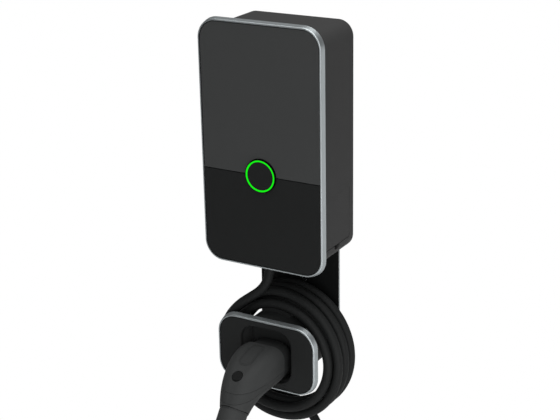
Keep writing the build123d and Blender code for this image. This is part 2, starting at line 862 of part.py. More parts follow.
def strain_relief():
    """Tapered rubber boot with cut rings, from the sleeve to the cable."""
    end_radius = cable_radius + relief_end_wall
    start_radius = sleeve_end_radius - sleeve_lip
    start = sleeve_plane(sleeve_length)
    boot = loft([start * Circle(start_radius), start.offset(relief_length) * Circle(end_radius)])
    pitch = relief_length / (relief_ribs + 1)
    for number in range(1, relief_ribs + 1):
        middle = number * pitch
        radius = start_radius + (end_radius - start_radius) * middle / relief_length
        groove = start.offset(middle - relief_groove / 2)
        core = max(radius - relief_groove, cable_radius)
        ring = extrude(groove * Circle(2 * radius), relief_groove)
        boot -= ring - extrude(groove * Circle(core), relief_groove)
    return boot


# Charging cable


def route(points):
    """Places of a cord's points in the model's frame."""
    return [Vector(x, -depth, dock_z + height) for x, depth, height in points]


def bend_radii(places):
    """Largest arc that each corner's shorter run leaves room for."""
    radii = []
    for before, here, after in zip(places, places[1:], places[2:]):
        arriving, leaving = here - before, after - here
        turn = radians(arriving.get_angle(leaving))
        radii.append(bend_share * min(arriving.length, leaving.length) / tan(turn / 2))
    return radii


def cord_tube(name, places):
    """Round tube along straight runs joined by tangent arcs."""
    radii = bend_radii(places)
    path = FilletPolyline(*places, radius=radii)
    section = Plane(places[0], z_dir=places[1] - places[0]) * Circle(cable_radius)
    tube = sweep(section, path)
    ideal = section.area * path.length
    print(name, "length %.1f" % path.length, "volume ratio %.4f" % (tube.volume / ideal),
          "radii", [round(radius) for radius in radii])
    return tube


def lead_places():
    """Route of the lead, from the charging gland down into the coil."""
    mouth = -housing_height / 2 - gland_collar_height
    return [Vector(charging_gland_x, -charging_gland_depth, mouth)] + route(lead_points)


def tail_places():
    """Route of the tail, from the coil round a hanging loop and straight into the strain relief."""
    end = sleeve_length + relief_length
    return route(tail_points) + [sleeve_plane(end + tail_straight).origin, sleeve_plane(end).origin]


def cable_coil():
    """Outer shape of the coil: a ring of outer turns and a smaller front turn."""
    outer = coil_radius + cable_radius
    inner = coil_radius - cable_radius
    front_inner = coil_front_radius - cable_radius
    profile = Polyline((-coil_back, inner), (-coil_back, outer), (-coil_front, outer),
                       (-coil_front, front_inner), (-coil_step, front_inner), (-coil_step, inner),
                       close=True)
    section = Plane.YZ * Pos(0, coil_z) * make_face(profile)
    section = fillet(section.vertices(), coil_round)
    return revolve(section, Axis((0, 0, coil_z), (0, 1, 0)))


# Assembly


def nodes():
    """Every piece of the wallbox by its node name."""
    upper_panel, lower_panel = front_panels()
    bezel, ring, led_board = status_light()
    handle_top, handle_band, handle_bottom, handle_inlay, release_button = handle_pieces()
    charging, supply = gland_places()
    return {
        "wall_bracket": wall_bracket(),
        "bracket_screws": bracket_screws(),
        "rear_housing": rear_housing(),
        "side_cover_left": side_cover_blank(-1, 0.0, side_cover_lift),
        "side_cover_right": side_cover_blank(1, 0.0, side_cover_lift),
        "cover_seal": cover_seal(),
        "front_carrier": front_carrier(),
        "cover_screws": cover_screws(),
        "trim_frame": trim(box_width, box_height, trim_corner, box_depth, 0.0),
        "upper_panel": upper_panel,
        "lower_panel": lower_panel,
        "ring_bezel": bezel,
        "light_ring": ring,
        "led_board": led_board,
        "start_button": start_button(),
        "switch_board": switch_board(),
        "main_board": main_board(),
        "board_screws": board_screws(),
        "relays": relays(),
        "current_sensor": current_sensor(),
        "power_supply": power_supply(),
        "supply_terminal": supply_terminal(),
        "charging_gland": gland(*charging),
        "charging_gland_nut": gland_nut(*charging),
        "supply_gland": gland(*supply),
        "supply_gland_nut": gland_nut(*supply),
        "coil_drum": coil_drum(),
        "drum_screws": drum_screws(),
        "dock_face": dock_face(),
        "dock_trim": trim(dock_width, dock_height, dock_corner, dock_depth, dock_z),
        "holster_insert": holster_insert(),
        "plug_nose": plug_nose(),
        "plug_contacts": plug_contacts(),
        "handle_top_shell": handle_top,
        "handle_seam_band": handle_band,
        "handle_bottom_shell": handle_bottom,
        "handle_inlay": handle_inlay,
        "release_button": release_button,
        "cable_sleeve": cable_sleeve(),
        "strain_relief": strain_relief(),
        "cable_lead": cord_tube("cable_lead", lead_places()),
        "cable_coil": cable_coil(),
        "cable_tail": cord_tube("cable_tail", tail_places()),
    }


os.makedirs("parts", exist_ok=True)
for name, shape in nodes().items():
    solids = shape if isinstance(shape, list) else [shape]
    export_step(Compound(children=solids) if len(solids) > 1 else solids[0], "parts/" + name + ".step")
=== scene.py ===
"""Studio scene of a wall-mounted vehicle charger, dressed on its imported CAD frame."""
import logging
import math
from dataclasses import dataclass
from enum import Enum
from typing import Callable

import bpy
from mathutils import Matrix, Vector


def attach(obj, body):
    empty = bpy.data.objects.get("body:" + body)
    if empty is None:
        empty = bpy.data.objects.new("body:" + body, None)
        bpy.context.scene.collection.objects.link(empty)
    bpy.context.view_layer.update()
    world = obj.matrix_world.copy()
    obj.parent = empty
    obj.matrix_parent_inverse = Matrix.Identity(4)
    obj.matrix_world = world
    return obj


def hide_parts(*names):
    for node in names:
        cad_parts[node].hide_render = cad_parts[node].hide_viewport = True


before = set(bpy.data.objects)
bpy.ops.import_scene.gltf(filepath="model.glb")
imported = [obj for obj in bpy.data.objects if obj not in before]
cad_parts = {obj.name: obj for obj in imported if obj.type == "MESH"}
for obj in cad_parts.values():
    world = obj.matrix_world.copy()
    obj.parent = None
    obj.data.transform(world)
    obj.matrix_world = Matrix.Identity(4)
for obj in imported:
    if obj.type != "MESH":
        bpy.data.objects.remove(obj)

LOG = logging.getLogger("wallbox")
MAIN_BODY = "wallbox"
MILLIMETRE = 0.001

Colour = tuple[float, float, float]
Cover = tuple[float, float, float, float]
Place = tuple[float, float, float]


def linear(code: str) -> Colour:
    """Linear colour of a hexadecimal screen colour, by the sRGB rule.

    Args:
        code: six hexadecimal digits.

    Returns:
        The colour's red, green and blue in linear light.
    """
    channels = [int(code[start:start + 2], 16) / 255 for start in (0, 2, 4)]
    red, green, blue = [c / 12.92 if c <= 0.04045 else ((c + 0.055) / 1.055) ** 2.4 for c in channels]
    return red, green, blue


def opaque(code: str) -> Cover:
    """Linear colour of a hexadecimal screen colour, with full cover."""
    return (*linear(code), 1.0)


def at(across: float, depth: float, height: float) -> Vector:
    """Place in the model's frame, in metres.

    Args:
        across: millimetres to the right of the middle.
        depth: millimetres from the wall towards the viewer.
        height: millimetres above the middle of the box.

    Returns:
        The place as a vector.
    """
    return Vector((across, -depth, height)) * MILLIMETRE


def add_object(name: str, data: bpy.types.ID) -> bpy.types.Object:
    """Add an object to the scene.

    Args:
        name: its name.
        data: its mesh, curve, light or camera.

    Returns:
        The object, at the origin.
    """
    thing = bpy.data.objects.new(name, data)
    bpy.context.scene.collection.objects.link(thing)
    return thing


@dataclass(frozen=True)
class ColourBlend:
    """Sockets of a node that blends two colours.

    Attributes:
        share: how much of the second colour shows.
        first: first colour.
        second: second colour.
        result: the blended colour.
    """

    share: bpy.types.NodeSocket
    first: bpy.types.NodeSocket
    second: bpy.types.NodeSocket
    result: bpy.types.NodeSocket


class NodeGraph:
    """Small helper that adds and links the nodes of one tree."""

    COLOUR_INPUTS = (6, 7)
    COLOUR_OUTPUT = 2

    def __init__(self, tree: bpy.types.NodeTree) -> None:
        """Work on one tree."""
        self.tree = tree

    def add(self, kind: str, **inputs: object) -> bpy.types.Node:
        """Add a node and set its inputs by name.

        Args:
            kind: the node's type name.
            inputs: values by input name, with underscores for spaces.

        Returns:
            The new node.
        """
        node = self.tree.nodes.new(kind)
        for name, value in inputs.items():
            node.inputs[name.replace("_", " ")].default_value = value
        return node

    def join(self, source: bpy.types.NodeSocket, target: bpy.types.NodeSocket) -> None:
        """Link one socket to another."""
        self.tree.links.new(source, target)

    def maths(self, operation: str, first: float = 0.0, second: float = 0.0) -> bpy.types.Node:
        """Add one sum.

        Args:
            operation: the sum's type name.
            first: first value, where nothing is linked to it.
            second: second value, where nothing is linked to it.

        Returns:
            The new node.
        """
        node = self.add("ShaderNodeMath")
        node.operation = operation
        node.inputs[0].default_value, node.inputs[1].default_value = first, second
        return node

    def colour_blend(self) -> ColourBlend:
        """Add a node that blends two colours.

        Returns:
            The sockets that carry its colours.
        """
        node = self.add("ShaderNodeMix")
        node.data_type = "RGBA"
        first, second = (node.inputs[number] for number in self.COLOUR_INPUTS)
        return ColourBlend(node.inputs["Factor"], first, second, node.outputs[self.COLOUR_OUTPUT])


class Effect(Enum):
    """Surface effects that several finishes share."""

    GRAIN = "moulded_grain"
    DRIFT = "tone_drift"
    BRUSH = "fine_brushing"
    SCUFF = "gloss_drift"


class EffectLibrary:
    """Builds each shared shader effect once, as a node group."""

    SPECKLE_SHARE = 0.45
    BRUSH_STRETCH = (0.06, 1.0, 0.06)

    def __init__(self) -> None:
        """Start with no group built."""
        self._groups: dict[Effect, bpy.types.NodeTree] = {}
        self._builders: dict[Effect, Callable[[str], bpy.types.NodeTree]] = {
            Effect.GRAIN: self._grain,
            Effect.DRIFT: self._drift,
            Effect.BRUSH: self._brush,
            Effect.SCUFF: self._scuff,
        }

    def get(self, effect: Effect) -> bpy.types.NodeTree:
        """Node group of an effect, built on first use.

        Args:
            effect: which effect.

        Returns:
            Its node group.
        """
        if effect not in self._groups:
            self._groups[effect] = self._builders[effect](effect.value)
        return self._groups[effect]

    @staticmethod
    def _new(
        name: str, inputs: dict[str, float | Cover], output: str, kind: str,
    ) -> tuple[NodeGraph, bpy.types.Node, bpy.types.Node]:
        """Empty group with its sockets and its two end nodes.

        Args:
            name: the group's name.
            inputs: each input's first value, by name.
            output: name of the one output.
            kind: type name of the output's socket.

        Returns:
            The group's nodes, its input node and its output node.
        """
        tree = bpy.data.node_groups.new(name, "ShaderNodeTree")
        for label, value in inputs.items():
            socket_type = "NodeSocketColor" if isinstance(value, tuple) else "NodeSocketFloat"
            socket = tree.interface.new_socket(label, in_out="INPUT", socket_type=socket_type)
            socket.default_value = value
        tree.interface.new_socket(output, in_out="OUTPUT", socket_type=kind)
        return NodeGraph(tree), tree.nodes.new("NodeGroupInput"), tree.nodes.new("NodeGroupOutput")

    @staticmethod
    def _cloud(graph: NodeGraph, start: bpy.types.Node, detail: float, roughness: float) -> bpy.types.Node:
        """Noise on object coordinates, at the group's scale.

        Args:
            graph: the group's nodes.
            start: its input node.
            detail: number of finer layers.
            roughness: weight of each finer layer.

        Returns:
            The noise node.
        """
        place = graph.add("ShaderNodeTexCoord")
        cloud = graph.add("ShaderNodeTexNoise", Detail=detail, Roughness=roughness)
        graph.join(place.outputs["Object"], cloud.inputs["Vector"])
        graph.join(start.outputs["Scale"], cloud.inputs["Scale"])
        return cloud

    def _grain(self, name: str) -> bpy.types.NodeTree:
        """Leathery grain of a moulded surface, as a height.

        Args:
            name: the group's name.

        Returns:
            The group.
        """
        graph, start, end = self._new(name, {"Scale": 900.0}, "Height", "NodeSocketFloat")
        place = graph.add("ShaderNodeTexCoord")
        cells = graph.add("ShaderNodeTexVoronoi")
        cells.feature = "SMOOTH_F1"
        speckle = self._cloud(graph, start, 3.0, 0.6)
        blend = graph.add("ShaderNodeMix", Factor=self.SPECKLE_SHARE)
        graph.join(place.outputs["Object"], cells.inputs["Vector"])
        graph.join(start.outputs["Scale"], cells.inputs["Scale"])
        graph.join(cells.outputs["Distance"], blend.inputs["A"])
        graph.join(speckle.outputs["Fac"], blend.inputs["B"])
        graph.join(blend.outputs["Result"], end.inputs["Height"])
        return graph.tree

    def _drift(self, name: str) -> bpy.types.NodeTree:
        """Slow wander between two tones of one colour.

        Args:
            name: the group's name.

        Returns:
            The group.
        """
        tones = {"Tone": (0.05, 0.05, 0.05, 1.0), "Shade": (0.04, 0.04, 0.04, 1.0), "Scale": 14.0}
        graph, start, end = self._new(name, tones, "Color", "NodeSocketColor")
        cloud = self._cloud(graph, start, 4.0, 0.55)
        blend = graph.colour_blend()
        graph.join(cloud.outputs["Fac"], blend.share)
        graph.join(start.outputs["Tone"], blend.first)
        graph.join(start.outputs["Shade"], blend.second)
        graph.join(blend.result, end.inputs["Color"])
        return graph.tree

    def _brush(self, name: str) -> bpy.types.NodeTree:
        """Fine lines along the trim, as a height.

        Args:
            name: the group's name.

        Returns:
            The group.
        """
        graph, start, end = self._new(name, {"Scale": 2400.0}, "Height", "NodeSocketFloat")
        place = graph.add("ShaderNodeTexCoord")
        stretch = graph.add("ShaderNodeMapping", Scale=self.BRUSH_STRETCH)
        lines = graph.add("ShaderNodeTexNoise", Detail=2.0)
        graph.join(place.outputs["Object"], stretch.inputs["Vector"])
        graph.join(stretch.outputs["Vector"], lines.inputs["Vector"])
        graph.join(start.outputs["Scale"], lines.inputs["Scale"])
        graph.join(lines.outputs["Fac"], end.inputs["Height"])
        return graph.tree

    def _scuff(self, name: str) -> bpy.types.NodeTree:
        """Roughness that wanders between two values.

        Args:
            name: the group's name.

        Returns:
            The group.
        """
        ends = {"Low": 0.4, "High": 0.5, "Scale": 40.0}
        graph, start, end = self._new(name, ends, "Roughness", "NodeSocketFloat")
        cloud = self._cloud(graph, start, 5.0, 0.65)
        spread = graph.add("ShaderNodeMapRange")
        graph.join(cloud.outputs["Fac"], spread.inputs["Value"])
        graph.join(start.outputs["Low"], spread.inputs["To Min"])
        graph.join(start.outputs["High"], spread.inputs["To Max"])
        graph.join(spread.outputs["Result"], end.inputs["Roughness"])
        return graph.tree


@dataclass(frozen=True)
class Finish:
    """Look of one surface: colour, gloss and relief.

    Attributes:
        name: material name.
        tone: main colour, as hexadecimal screen colour.
        shade: second tone that the colour wanders to.
        roughness: lowest and highest roughness.
        relief: effect that gives the bump.
        relief_scale: repeats of the relief per metre.
        relief_depth: bump distance in metres.
        metallic: share of metal.
        specular: strength of the surface reflection.
        coat: clear coat weight.
        relief_strength: share of the bump that shows.
    """

    name: str
    tone: str
    shade: str
    roughness: tuple[float, float] = (0.45, 0.55)
    relief: Effect = Effect.GRAIN
    relief_scale: float = 1500.0
    relief_depth: float = 0.00004
    metallic: float = 0.0
    specular: float = 0.1
    coat: float = 0.0
    relief_strength: float = 0.6

    def build(self, effects: EffectLibrary) -> bpy.types.Material:
        """Make the material.

        Args:
            effects: the shared shader effects.

        Returns:
            A procedural material on object coordinates.
        """
        material = bpy.data.materials.new(self.name)
        material.use_nodes = True
        graph = NodeGraph(material.node_tree)
        shader = material.node_tree.nodes["Principled BSDF"]
        shader.inputs["Metallic"].default_value = self.metallic
        shader.inputs["Specular IOR Level"].default_value = self.specular
        shader.inputs["Coat Weight"].default_value = self.coat
        drift = self._group(graph, effects, Effect.DRIFT)
        drift.inputs["Tone"].default_value = opaque(self.tone)
        drift.inputs["Shade"].default_value = opaque(self.shade)
        graph.join(drift.outputs["Color"], shader.inputs["Base Color"])
        scuff = self._group(graph, effects, Effect.SCUFF)
        scuff.inputs["Low"].default_value, scuff.inputs["High"].default_value = self.roughness
        graph.join(scuff.outputs["Roughness"], shader.inputs["Roughness"])
        relief = self._group(graph, effects, self.relief)
        relief.inputs["Scale"].default_value = self.relief_scale
        bump = graph.add("ShaderNodeBump", Strength=self.relief_strength, Distance=self.relief_depth)
        graph.join(relief.outputs["Height"], bump.inputs["Height"])
        graph.join(bump.outputs["Normal"], shader.inputs["Normal"])
        self.finish_shader(graph, shader)
        return material

    def finish_shader(self, graph: NodeGraph, shader: bpy.types.Node) -> None:
        """Place for what a special finish adds to the shader."""

    @staticmethod
    def _group(graph: NodeGraph, effects: EffectLibrary, effect: Effect) -> bpy.types.Node:
        """Node that uses a shared effect.

        Args:
            graph: the material's nodes.
            effects: the shared shader effects.
            effect: which of them.

        Returns:
            The group's node in the material.
        """
        node = graph.add("ShaderNodeGroup")
        node.node_tree = effects.get(effect)
        return node

    @staticmethod
    def _repaint(graph: NodeGraph, shader: bpy.types.Node, tone: str, share: bpy.types.NodeSocket) -> None:
        """Blend the base colour to another tone.

        Args:
            graph: the material's nodes.
            shader: its main shader.
            tone: the other colour, as hexadecimal screen colour.
            share: socket that says how much of it shows.
        """
        base = shader.inputs["Base Color"]
        coat = base.links[0].from_socket
        blend = graph.colour_blend()
        blend.second.default_value = opaque(tone)
        graph.join(share, blend.share)
        graph.join(coat, blend.first)
        graph.join(blend.result, base)


@dataclass(frozen=True)
class LitFinish(Finish):
    """Luminous diffuser: its light wanders a little between the lamps behind it.

    Attributes:
        glow: colour of the light, as hexadecimal screen colour.
        strength: emission strength.
        lamp_gain: how much stronger red, green and blue are over a lamp.
        lamp_scale: bright spots per metre.
    """

    glow: str = "0AF40C"
    strength: float = 0.95
    lamp_gain: Colour = (1.4, 1.06, 1.4)
    lamp_scale: float = 160.0

    def finish_shader(self, graph: NodeGraph, shader: bpy.types.Node) -> None:
        """Feed the emission with a slightly uneven glow.

        Args:
            graph: the material's nodes.
            shader: its main shader.
        """
        place = graph.add("ShaderNodeTexCoord")
        lamps = graph.add("ShaderNodeTexNoise", Scale=self.lamp_scale, Detail=1.0)
        blend = graph.colour_blend()
        lit = [min(1.0, level * gain) for level, gain in zip(linear(self.glow), self.lamp_gain)]
        blend.first.default_value = opaque(self.glow)
        blend.second.default_value = (*lit, 1.0)
        graph.join(place.outputs["Object"], lamps.inputs["Vector"])
        graph.join(lamps.outputs["Fac"], blend.share)
        graph.join(blend.result, shader.inputs["Emission Color"])
        shader.inputs["Emission Strength"].default_value = self.strength


@dataclass(frozen=True)
class PaintedPocketLightFinish(Finish):
    """Moulded face with painted light: its pocket walls are painted paler behind the rim, standing in for
    light falling into the pocket.

    Attributes:
        pocket_light_tone: paler tone painted on the pocket walls as painted light, as hexadecimal screen
            colour.
        rim: depth at which the painted light begins, in millimetres from the wall.
        full_light_depth: depth from which the painted light is full.
    """

    # Paler tone painted on the pocket walls as painted light.
    pocket_light_tone: str = "3E3F3F"
    rim: float = 97.0
    full_light_depth: float = 93.0

    def finish_shader(self, graph: NodeGraph, shader: bpy.types.Node) -> None:
        """Blend to the paler painted light tone from the rim towards the wall, painting light onto the
        pocket walls.

        Args:
            graph: the material's nodes.
            shader: its main shader.
        """
        place = graph.add("ShaderNodeTexCoord")
        spot = graph.add("ShaderNodeSeparateXYZ")
        rim, full_light_depth = -self.rim * MILLIMETRE, -self.full_light_depth * MILLIMETRE
        painted_light_share = graph.add("ShaderNodeMapRange", From_Min=rim, From_Max=full_light_depth)
        graph.join(place.outputs["Object"], spot.inputs["Vector"])
        graph.join(spot.outputs["Y"], painted_light_share.inputs["Value"])
        # Painted light: the pocket walls are blended to a paler tone, standing in for light that falls into
        # the pocket.
        self._repaint(graph, shader, self.pocket_light_tone, painted_light_share.outputs["Result"])


@dataclass(frozen=True)
class EdgedFinish(Finish):
    """Coated sheet whose cut edge stays bare.

    Attributes:
        bare: tone of the bare metal, as hexadecimal screen colour.
        sheet: thickness of the sheet on the wall, in millimetres.
        facing: how far a face may look ahead and still count as edge.
    """

    bare: str = "A4A8A9"
    sheet: float = 3.2
    facing: float = 0.5

    def finish_shader(self, graph: NodeGraph, shader: bpy.types.Node) -> None:
        """Show bare metal where the sheet's edge looks sideways.

        Args:
            graph: the material's nodes.
            shader: its main shader.
        """
        place = graph.add("ShaderNodeTexCoord")
        normal = graph.add("ShaderNodeSeparateXYZ")
        spot = graph.add("ShaderNodeSeparateXYZ")
        ahead = graph.maths("ABSOLUTE")
        edge = graph.maths("LESS_THAN", second=self.facing)
        near_wall = graph.maths("GREATER_THAN", second=-self.sheet * MILLIMETRE)
        both = graph.maths("MULTIPLY")
        graph.join(place.outputs["Normal"], normal.inputs["Vector"])
        graph.join(place.outputs["Object"], spot.inputs["Vector"])
        graph.join(normal.outputs["Y"], ahead.inputs[0])
        graph.join(ahead.outputs["Value"], edge.inputs[0])
        graph.join(spot.outputs["Y"], near_wall.inputs[0])
        graph.join(edge.outputs["Value"], both.inputs[0])
        graph.join(near_wall.outputs["Value"], both.inputs[1])
        self._repaint(graph, shader, self.bare, both.outputs["Value"])


class Wardrobe:
    """Finishes of the charger, and which CAD nodes wear them."""

    FINISHES = (
        Finish("upper_panel_matt", "3B3C3C", "393A3A", (0.52, 0.6), relief_scale=2600.0),
        Finish("lower_panel_satin", "1C1D1D", "1B1C1C", (0.48, 0.56), relief_scale=2600.0),
        Finish("housing_grain", "3B3B3B", "383838", (0.55, 0.65)),
        Finish("carrier_black", "080808", "060606", (0.5, 0.6)),
        Finish("trim_silver", "B2B8BA", "ACB2B4", (0.4, 0.46), Effect.BRUSH, 2400.0, 0.00001, metallic=1.0),
        LitFinish("ring_glow", "063006", "052A05", (0.4, 0.5), relief_depth=0.00001),
        Finish("button_black", "1C1D1D", "1A1B1B", (0.42, 0.5), relief_scale=2600.0),
        Finish("rubber_black", "121212", "0E0E0E", (0.7, 0.8)),
        Finish("screw_zinc", "9A9C9E", "8A8C8E", (0.25, 0.4), Effect.BRUSH, metallic=1.0),
        Finish("board_green", "0F3A22", "0B3019", (0.3, 0.42), relief_depth=0.00002, coat=0.4),
        Finish("relay_black", "1A1A1C", "161618", (0.3, 0.42)),
        Finish("sensor_blue", "1E2C4C", "192642", (0.3, 0.42)),
        Finish("terminal_grey", "8C8C88", "84847F", (0.45, 0.55)),
        Finish("nylon_black", "151515", "111111", (0.5, 0.62)),
        EdgedFinish("bracket_powder", "121313", "0E0F0F", (0.55, 0.68), relief_scale=1100.0,
                    relief_depth=0.00006),
        # Dock face: moulded grain, with painted light on its pocket walls.
        PaintedPocketLightFinish("dock_grain", "202121", "1E1F1F", (0.5, 0.6)),
        Finish("drum_dark", "232424", "202121", (0.55, 0.65)),
        Finish("holster_soft", "2C2D2D", "292A2A", (0.7, 0.82)),
        Finish("plug_black", "282929", "252626", (0.5, 0.6)),
        Finish("release_black", "141515", "111212", (0.45, 0.55)),
        Finish("contact_silver", "C9C4B8", "BDB8AB", (0.2, 0.3), Effect.BRUSH, metallic=1.0),
        Finish("handle_grain", "363737", "333434", (0.5, 0.6)),
        Finish("handle_soft", "353636", "313232", (0.56, 0.66)),
        Finish("cable_sheath", "1F2020", "1C1D1D", (0.5, 0.62), relief_scale=1800.0, relief_depth=0.00003),
    )
    WEARERS = {
        "upper_panel_matt": ("upper_panel",),
        "lower_panel_satin": ("lower_panel",),
        "housing_grain": ("rear_housing", "side_cover_left", "side_cover_right"),
        "carrier_black": ("front_carrier", "ring_bezel"),
        "trim_silver": ("trim_frame", "dock_trim"),
        "ring_glow": ("light_ring",),
        "button_black": ("start_button",),
        "rubber_black": ("cover_seal",),
        "screw_zinc": ("bracket_screws", "cover_screws", "board_screws", "drum_screws"),
        "board_green": ("led_board", "switch_board", "main_board"),
        "relay_black": ("relays", "power_supply"),
        "sensor_blue": ("current_sensor",),
        "terminal_grey": ("supply_terminal",),
        "nylon_black": ("charging_gland", "charging_gland_nut", "supply_gland", "supply_gland_nut"),
        "bracket_powder": ("wall_bracket",),
        "dock_grain": ("dock_face",),
        "drum_dark": ("coil_drum",),
        "holster_soft": ("holster_insert",),
        "plug_black": ("plug_nose",),
        "release_black": ("release_button",),
        "contact_silver": ("plug_contacts",),
        "handle_grain": ("handle_top_shell", "handle_bottom_shell", "cable_sleeve"),
        "handle_soft": ("handle_seam_band", "handle_inlay", "strain_relief"),
    }

    def __init__(self, effects: EffectLibrary) -> None:
        """Make the material of every finish."""
        self.materials = {finish.name: finish.build(effects) for finish in self.FINISHES}

    def dress(self) -> None:
        """Give every CAD node its material."""
        for finish, nodes in self.WEARERS.items():
            for node in nodes:
                self.wear(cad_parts[node], finish)

    def wear(self, piece: bpy.types.Object, finish: str) -> None:
        """Put a finish on one object.

        Args:
            piece: the object.
            finish: the finish's name.
        """
        material = self.materials[finish]
        if not piece.material_slots:
            piece.data.materials.append(material)
        for slot in piece.material_slots:
            slot.material = material
        LOG.info("%s wears %s", piece.name, finish)


@dataclass(frozen=True)
class PartField:
    """Rows of small soldered parts on the main board.

    Attributes:
        name: object name.
        finish: material of the parts.
        slot: the record's material slot; not used.
        middle: across, depth and height of the field's middle, in millimetres.
        span: width and height that the rows cover.
        count: columns and rows.
        part: width, height and thickness of the largest part.
        spread: share by which the sizes differ.
    """

    name: str
    finish: str
    slot: str
    middle: Place
    span: tuple[float, float]
    count: tuple[int, int]
    part: Place
    spread: float


class BoardParts:
    """Soldered parts of the main board, laid out by one Geometry Nodes tree."""

    FIELDS = (
        PartField("board_chips", "relay_black", "relay", (-2.0, 26.2, -17.0), (92.0, 26.0), (12, 4),
                  (4.2, 2.4, 1.2), 0.5),
        PartField("board_pins", "contact_silver", "contact_metal", (14.0, 25.9, -37.0), (54.0, 2.6), (14, 2),
                  (1.4, 1.4, 0.6), 0.1),
        PartField("board_coils", "terminal_grey", "terminal", (0.0, 27.6, 113.0), (84.0, 9.0), (7, 2),
                  (6.0, 5.0, 4.0), 0.25),
    )
    INPUTS = (
        ("Width", "NodeSocketFloat"), ("Height", "NodeSocketFloat"), ("Columns", "NodeSocketInt"),
        ("Rows", "NodeSocketInt"), ("Part", "NodeSocketVector"), ("Spread", "NodeSocketFloat"),
        ("Middle", "NodeSocketVector"), ("Finish", "NodeSocketMaterial"),
    )
    GRID_INPUTS = (
        ("Width", "Size X"), ("Height", "Size Y"), ("Columns", "Vertices X"), ("Rows", "Vertices Y"),
    )
    SIZE_SEED = 0
    FACE_VIEWER = (math.pi / 2, 0.0, 0.0)

    def __init__(self, wardrobe: Wardrobe) -> None:
        """Build the tree that all fields share.

        Args:
            wardrobe: the finishes.
        """
        self.wardrobe = wardrobe
        self.tree = bpy.data.node_groups.new("part_rows", "GeometryNodeTree")
        self._sockets()
        self._nodes()

    def build(self) -> None:
        """Make every field and let it ride with the box."""
        for field in self.FIELDS:
            piece = self._field(field)
            self.wardrobe.wear(piece, field.finish)
            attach(piece, MAIN_BODY)
            LOG.info("%s has %d faces", piece.name, len(piece.data.polygons))

    def _sockets(self) -> None:
        """Inputs and output of the tree."""
        face = self.tree.interface
        for name, kind in self.INPUTS:
            face.new_socket(name, in_out="INPUT", socket_type=kind)
        face.new_socket("Geometry", in_out="OUTPUT", socket_type="NodeSocketGeometry")

    def _nodes(self) -> None:
        """Grid of points, a box on each, turned to face the viewer."""
        graph = NodeGraph(self.tree)
        start, end = graph.add("NodeGroupInput"), graph.add("NodeGroupOutput")
        grid = graph.add("GeometryNodeMeshGrid")
        box = graph.add("GeometryNodeMeshCube")
        least = graph.maths("SUBTRACT", first=1.0)
        lowest = graph.add("ShaderNodeCombineXYZ", Z=1.0)
        sizes = graph.add("FunctionNodeRandomValue", Seed=self.SIZE_SEED)
        sizes.data_type = "FLOAT_VECTOR"
        sizes.inputs["Max"].default_value = (1.0, 1.0, 1.0)
        spots = graph.add("GeometryNodeInstanceOnPoints")
        turn = graph.add("GeometryNodeTransform", Rotation=self.FACE_VIEWER)
        solid = graph.add("GeometryNodeRealizeInstances")
        paint = graph.add("GeometryNodeSetMaterial")
        for name, target in self.GRID_INPUTS:
            graph.join(start.outputs[name], grid.inputs[target])
        graph.join(start.outputs["Part"], box.inputs["Size"])
        graph.join(start.outputs["Spread"], least.inputs[1])
        graph.join(least.outputs["Value"], lowest.inputs["X"])
        graph.join(least.outputs["Value"], lowest.inputs["Y"])
        graph.join(lowest.outputs["Vector"], sizes.inputs["Min"])
        graph.join(grid.outputs["Mesh"], spots.inputs["Points"])
        graph.join(box.outputs["Mesh"], spots.inputs["Instance"])
        graph.join(sizes.outputs["Value"], spots.inputs["Scale"])
        graph.join(spots.outputs["Instances"], turn.inputs["Geometry"])
        graph.join(start.outputs["Middle"], turn.inputs["Translation"])
        graph.join(turn.outputs["Geometry"], solid.inputs["Geometry"])
        graph.join(solid.outputs["Geometry"], paint.inputs["Geometry"])
        graph.join(start.outputs["Finish"], paint.inputs["Material"])
        graph.join(paint.outputs["Geometry"], end.inputs["Geometry"])

    def _field(self, field: PartField) -> bpy.types.Object:
        """One field as a plain mesh.

        Args:
            field: its layout.

        Returns:
            The finished object, at the origin.
        """
        piece = add_object(field.name, bpy.data.meshes.new(field.name))
        modifier = piece.modifiers.new("rows", "NODES")
        modifier.node_group = self.tree
        values = {
            "Width": field.span[0] * MILLIMETRE, "Height": field.span[1] * MILLIMETRE,
            "Columns": field.count[0], "Rows": field.count[1], "Spread": field.spread,
            "Part": [size * MILLIMETRE for size in field.part], "Middle": list(at(*field.middle)),
            "Finish": self.wardrobe.materials[field.finish],
        }
        for socket in self.tree.interface.items_tree:
            if socket.in_out == "INPUT":
                modifier[socket.identifier] = values[socket.name]
        bpy.context.view_layer.update()
        ready = piece.evaluated_get(bpy.context.evaluated_depsgraph_get())
        mesh = bpy.data.meshes.new_from_object(ready)
        piece.modifiers.clear()
        piece.data = mesh
        return piece


